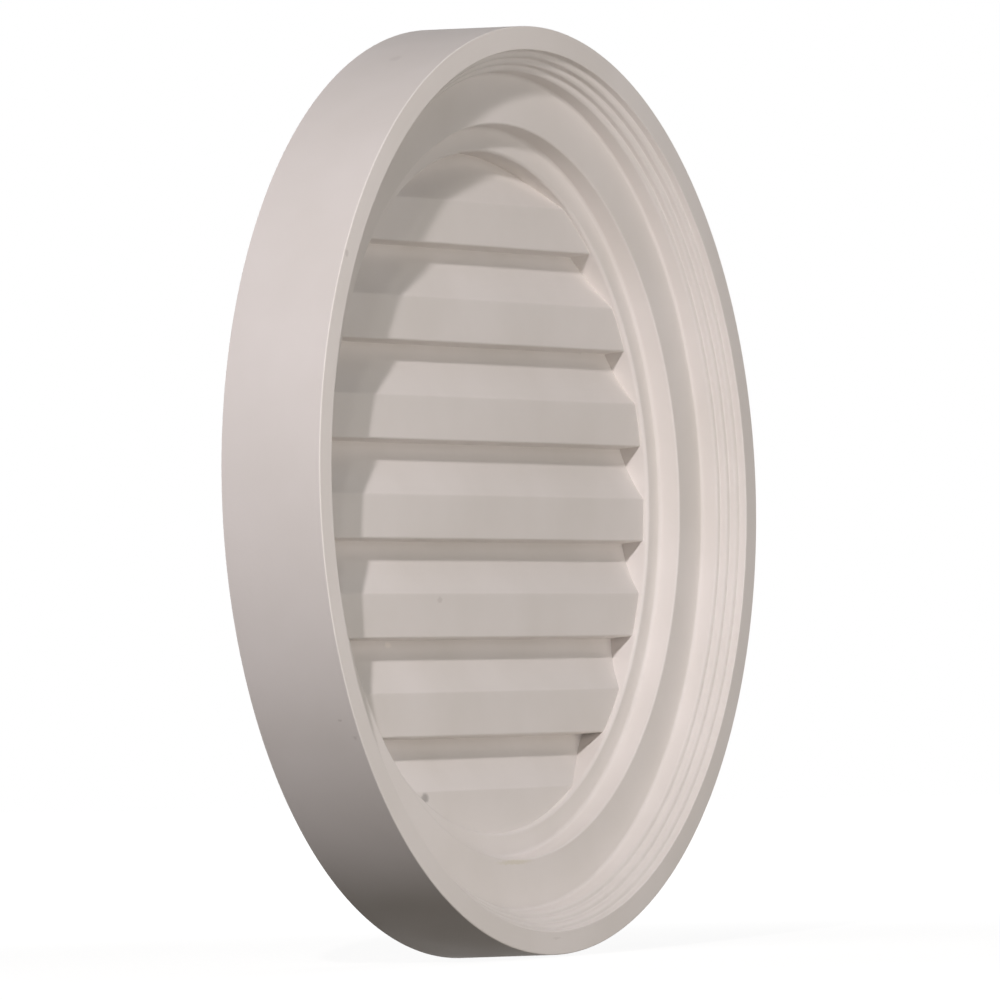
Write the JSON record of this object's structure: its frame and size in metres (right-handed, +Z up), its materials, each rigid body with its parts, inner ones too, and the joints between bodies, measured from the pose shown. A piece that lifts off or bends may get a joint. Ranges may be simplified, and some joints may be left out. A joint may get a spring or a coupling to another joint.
{
  "type": "gable louvred vent",
  "caption": "Round closed gable vent: a deep moulded ring, stepped towards its middle, around horizontal louvres, with a flat back that is fixed to a wall.",
  "frame": {"origin": "middle of the flat back face, which lies on the wall", "axes": "+Z up, +Y into the wall, so the front looks along -Y and +X is to the right of someone who faces it"},
  "size_m": [0.6096, 0.07, 0.6096],
  "materials": {
    "primed_urethane": "primed, satin-matt"
  },
  "bodies": {
    "root": {"louvred_vent": "primed_urethane"}
  },
  "joints": []
}
